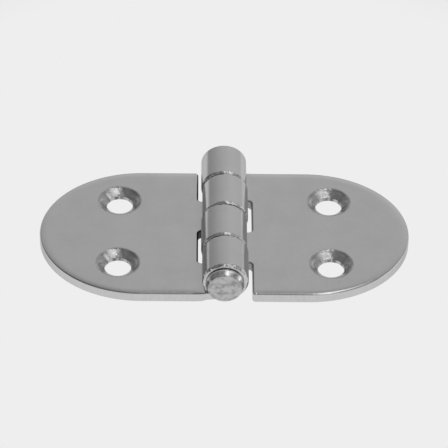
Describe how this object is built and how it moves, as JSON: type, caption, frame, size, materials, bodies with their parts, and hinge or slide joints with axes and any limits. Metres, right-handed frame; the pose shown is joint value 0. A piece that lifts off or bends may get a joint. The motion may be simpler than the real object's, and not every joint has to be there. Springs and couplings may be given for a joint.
{
  "type": "strap hinge",
  "caption": "Flat hinge with two half-oval sheet leaves, countersunk screw holes and interleaved rolled knuckles on a headed pin.",
  "frame": {"origin": "middle of the open hinge's bounding box in plan, at the height of the leaves' underside, which is the face that is screwed down; the pin's axis is straight above it", "axes": "+X across the two leaves towards right_leaf, +Y along the pin away from its head, +Z out of the mounting plane on the side where the barrel stands proud and the countersinks open"},
  "size_m": [0.076, 0.0406, 0.0098],
  "materials": {
    "left_leaf_steel": "polished",
    "right_leaf_steel": "polished",
    "hinge_pin_steel": "polished, head face lightly hammered"
  },
  "bodies": {
    "left": {"left_leaf": "left_leaf_steel", "hinge_pin": "hinge_pin_steel"},
    "right": {"right_leaf": "right_leaf_steel"}
  },
  "joints": [
    {"name": "hinge_fold", "type": "hinge", "parent": "left", "child": "right", "pos_m": [0, 0, 0.00515], "axis": [0, -1, 0], "range_deg": [-90, 180]}
  ]
}
